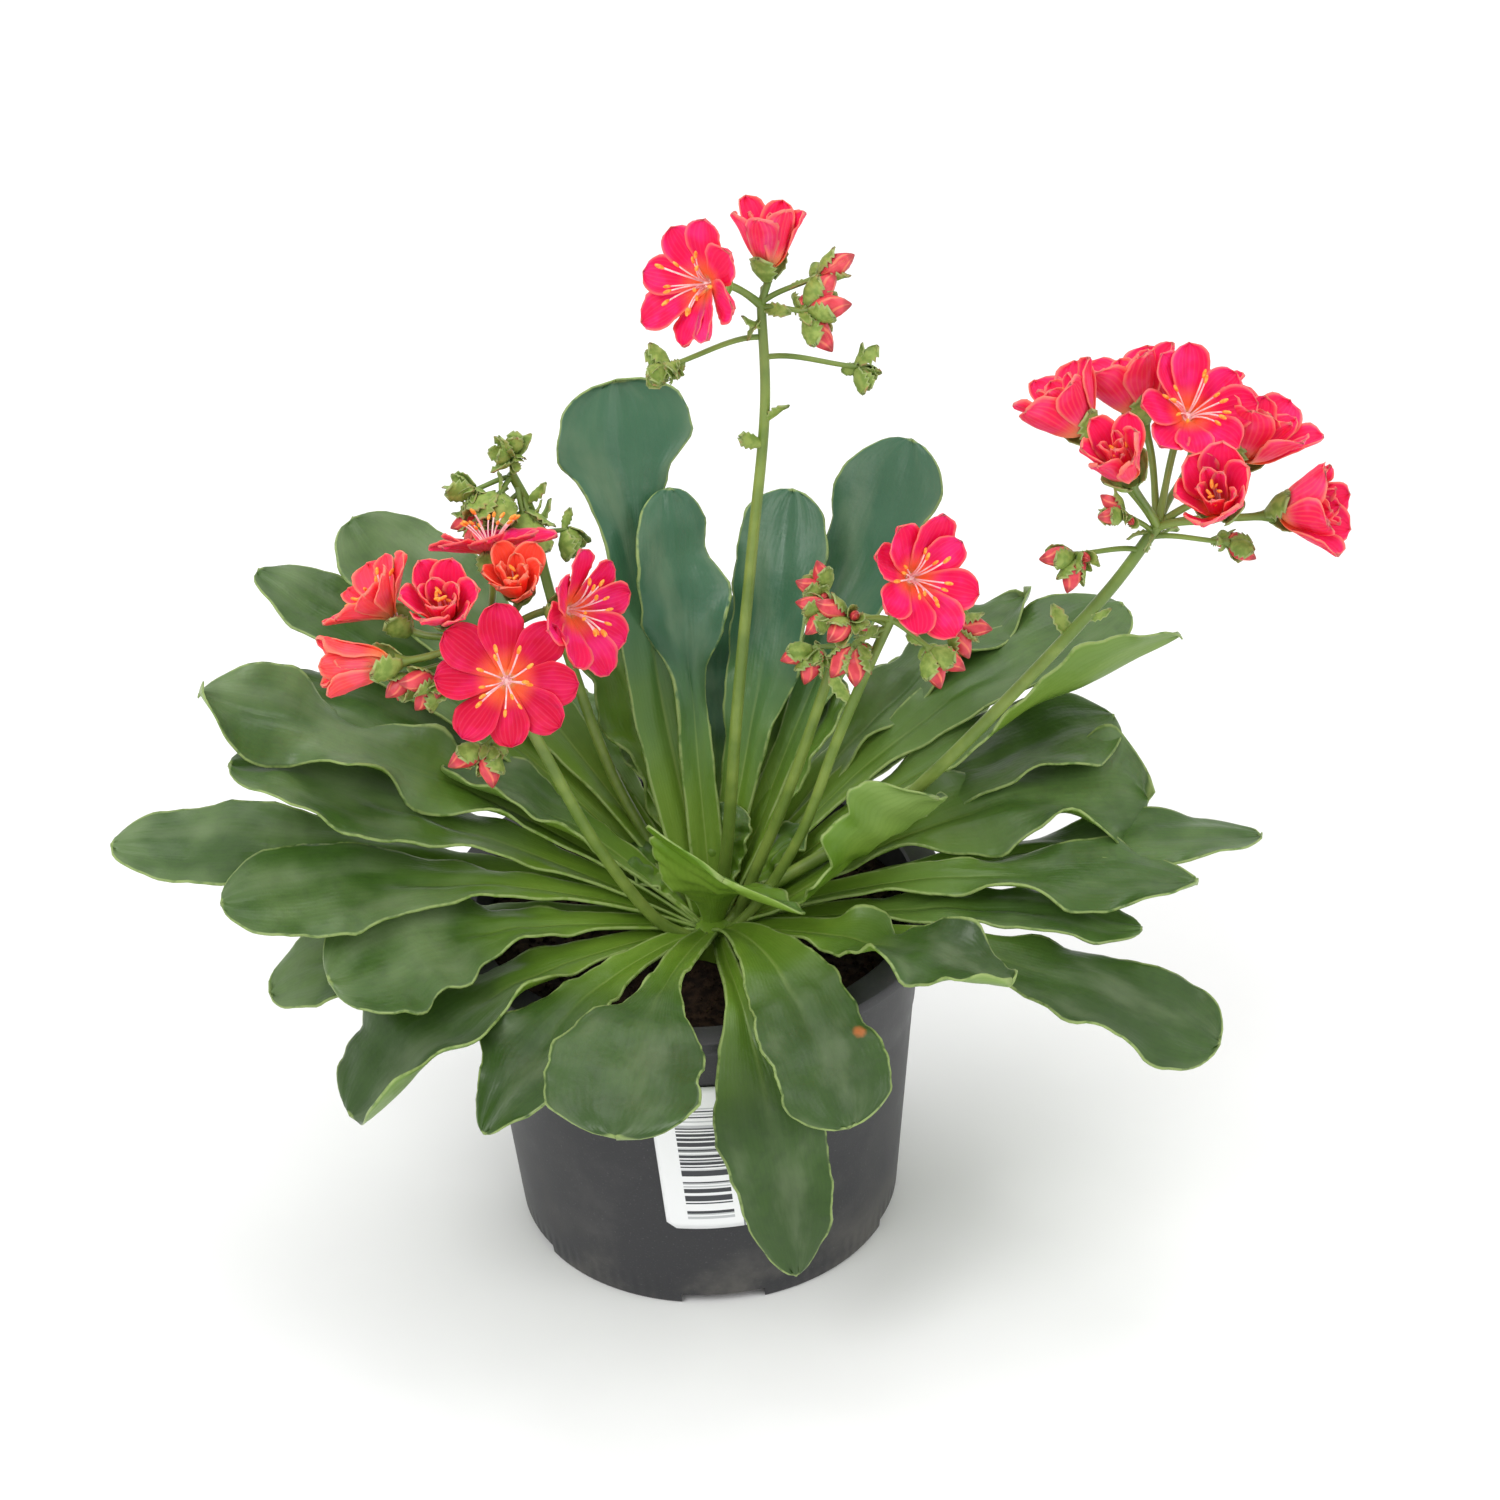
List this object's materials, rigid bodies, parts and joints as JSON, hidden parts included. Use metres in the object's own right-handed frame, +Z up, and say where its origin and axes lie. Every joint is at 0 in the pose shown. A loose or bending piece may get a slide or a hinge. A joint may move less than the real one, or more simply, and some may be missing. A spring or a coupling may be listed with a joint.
{
  "type": "potted plant",
  "caption": "Potted flowering rosette plant: a round tapered nursery pot of soil carries fleshy spoon-shaped leaves and leafless stems with clusters of open blooms and buds.",
  "frame": {"origin": "middle of the pot's flat base, on the surface it stands on", "axes": "+Z up; -Y is the side of the pot that carries the label; +X to the right of it"},
  "size_m": [0.2851, 0.172, 0.2705],
  "materials": {
    "pot": "satin moulded charcoal plastic",
    "soil": "crumbly peat potting mix",
    "label": "matt white paper sticker",
    "crown": "satin fleshy plant tissue",
    "leaf": "satin fleshy leaf",
    "stem": "satin green stem",
    "petal": "soft silky petal"
  },
  "bodies": {
    "root": {"pot": "pot", "soil": "soil", "label": "label", "crown": "crown", "stem_tall": "stem", "stem_right": "stem", "stem_middle": "stem", "stem_middle_back": "stem", "stem_left": "stem", "stem_nodding": "stem", "bloom_left_1": "petal", "bloom_left_2": "petal", "bloom_left_3": "petal", "bloom_left_4": "petal", "bloom_left_5": "petal", "bloom_left_6": "petal", "bloom_left_7": "petal", "bloom_top_left": "petal", "bloom_top_right": "petal", "bloom_middle": "petal", "bloom_right_1": "petal", "bloom_right_2": "petal", "bloom_right_3": "petal", "bloom_right_4": "petal", "bloom_right_5": "petal", "bloom_right_6": "petal", "bloom_right_7": "petal", "bloom_right_8": "petal", "leaf_fold_right": "leaf", "leaf_fold_left": "leaf", "leaf_back_wavy": "leaf", "leaf_back_low": "leaf", "leaf_back_tall": "leaf", "leaf_back_centre": "leaf", "leaf_back_right": "leaf", "leaf_right_channel": "leaf", "leaf_right_long": "leaf", "leaf_right_back": "leaf", "leaf_right_far": "leaf", "leaf_left_pale": "leaf", "leaf_left_high": "leaf", "leaf_left_wavy": "leaf", "leaf_left_upper": "leaf", "leaf_left_under": "leaf", "leaf_right_round": "leaf", "leaf_right_waved": "leaf", "leaf_right_flat": "leaf", "leaf_right_split": "leaf", "leaf_right_low": "leaf", "leaf_left_long": "leaf", "leaf_left_broad": "leaf", "leaf_left_front": "leaf", "leaf_left_low": "leaf", "leaf_front_left": "leaf", "leaf_front_centre": "leaf", "leaf_front_curl": "leaf", "leaf_front_right": "leaf", "leaf_front_spot": "leaf", "leaf_front_droop": "leaf", "leaf_front_hang": "leaf"}
  },
  "joints": []
}
